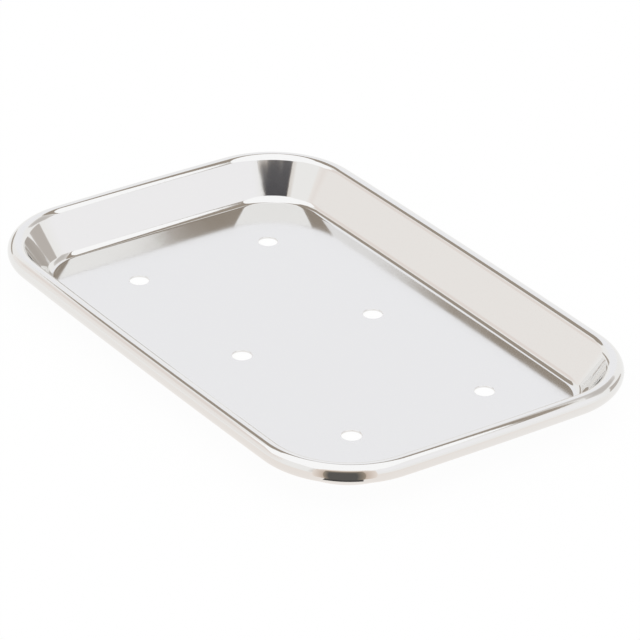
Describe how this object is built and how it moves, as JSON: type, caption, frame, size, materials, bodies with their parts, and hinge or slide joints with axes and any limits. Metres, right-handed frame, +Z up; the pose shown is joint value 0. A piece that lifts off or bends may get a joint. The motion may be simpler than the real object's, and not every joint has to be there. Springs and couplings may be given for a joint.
{
  "type": "perforated instrument tray",
  "caption": "Shallow rectangular stainless steel tray with rounded corners, sloping walls, an outward rolled rim and a flat floor with drain holes.",
  "frame": {"origin": "centre of the flat underside", "axes": "+X along the long side, +Y along the short side, +Z up out of the open top"},
  "size_m": [0.254, 0.165, 0.0175],
  "materials": {
    "polished_stainless": "deep-drawn stainless steel sheet, polished to a near mirror on the rim and wall, softer on the floor"
  },
  "bodies": {
    "root": {"tray": "polished_stainless"}
  },
  "joints": []
}
